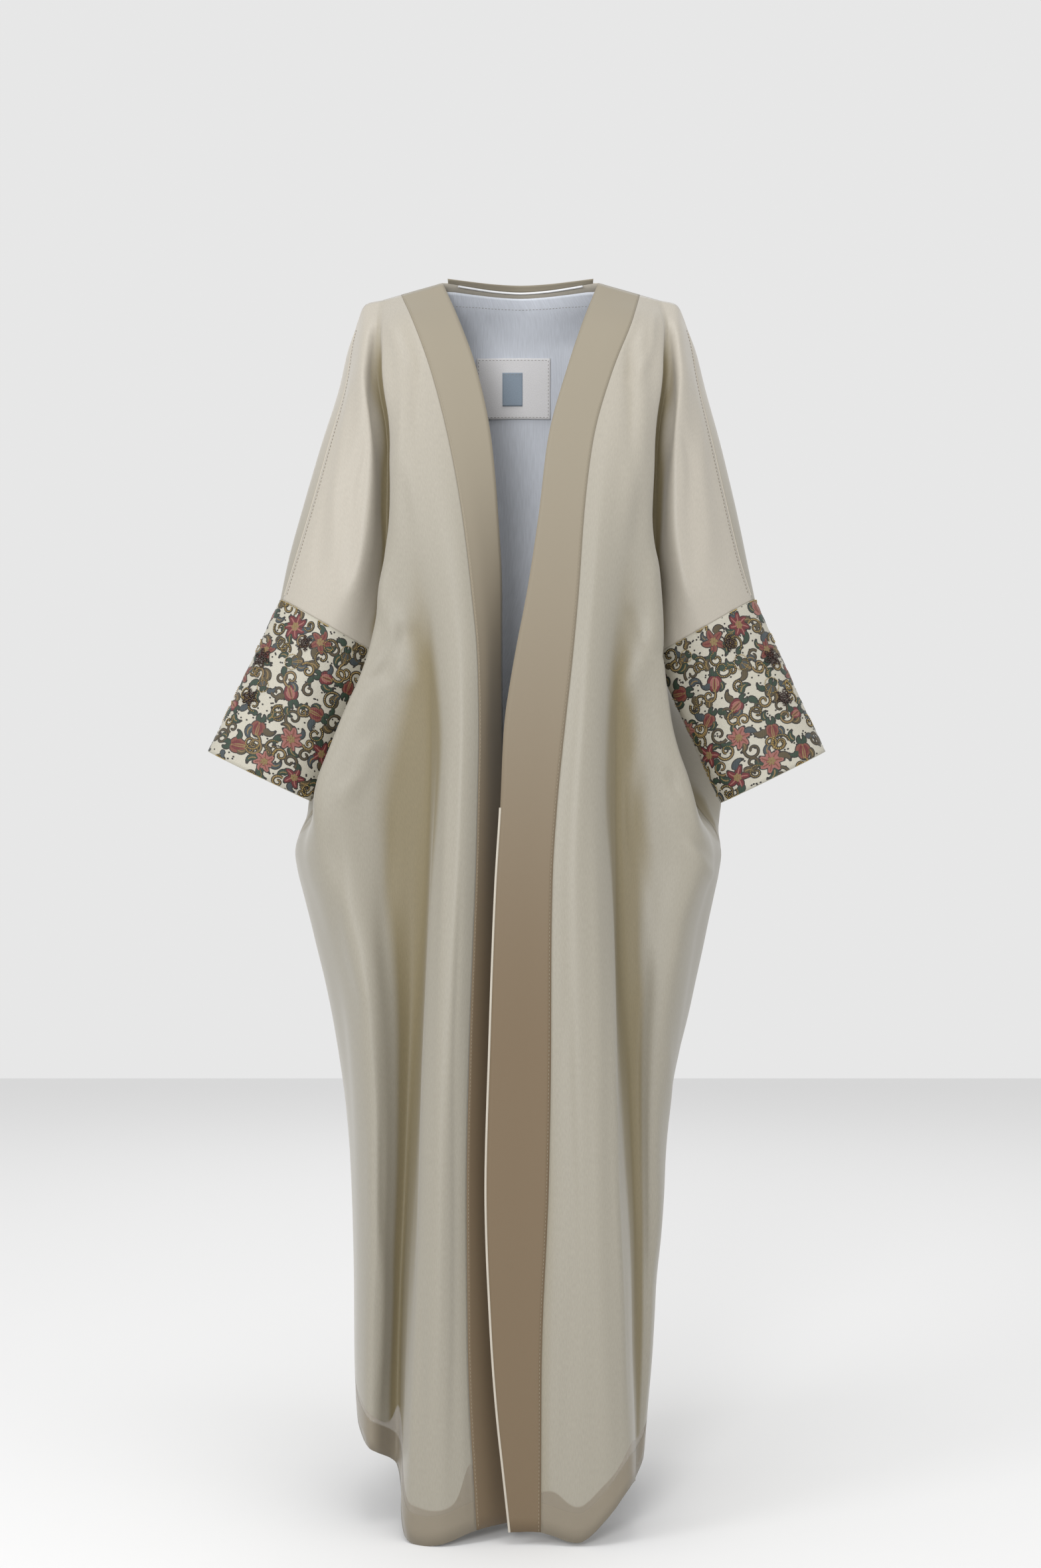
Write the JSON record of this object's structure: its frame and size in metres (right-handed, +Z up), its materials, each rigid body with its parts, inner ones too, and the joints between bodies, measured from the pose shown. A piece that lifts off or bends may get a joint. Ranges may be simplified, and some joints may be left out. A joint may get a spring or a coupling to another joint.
{
  "type": "embroidered abaya",
  "caption": "Open-front kimono-cut abaya in sheer cream over satin, with beige front bands and wide brocade cuffs, held in its worn form.",
  "frame": {"origin": "midway between the two points where the neck meets the shoulder seams, where the wearer holds it", "axes": "+Z up, the front faces -Y, +X towards the wearer's left"},
  "size_m": [0.7468, 0.377, 1.4848],
  "materials": {
    "outer_cloth": "sheer cream weave over pale satin, soft grey-green sheen",
    "front_band": "plain matt beige crepe",
    "lining": "thin bluish white lining, matt",
    "patch_cloth": "cream cotton, matt",
    "label_weave": "woven pale blue-grey ribbon, left blank",
    "cuff_brocade": "ivory brocade with woven flowers, leaves and scrolls, gold and dark beads"
  },
  "bodies": {
    "root": {"front_right": "outer_cloth", "front_left": "outer_cloth", "back": "outer_cloth", "back_sleeve_right": "outer_cloth", "back_sleeve_left": "outer_cloth", "band_right": "front_band", "band_left": "front_band", "neck_band": "front_band", "back_lining": "lining", "label_patch": "patch_cloth", "label": "label_weave", "cuff_right": "cuff_brocade", "cuff_left": "cuff_brocade"}
  },
  "joints": []
}
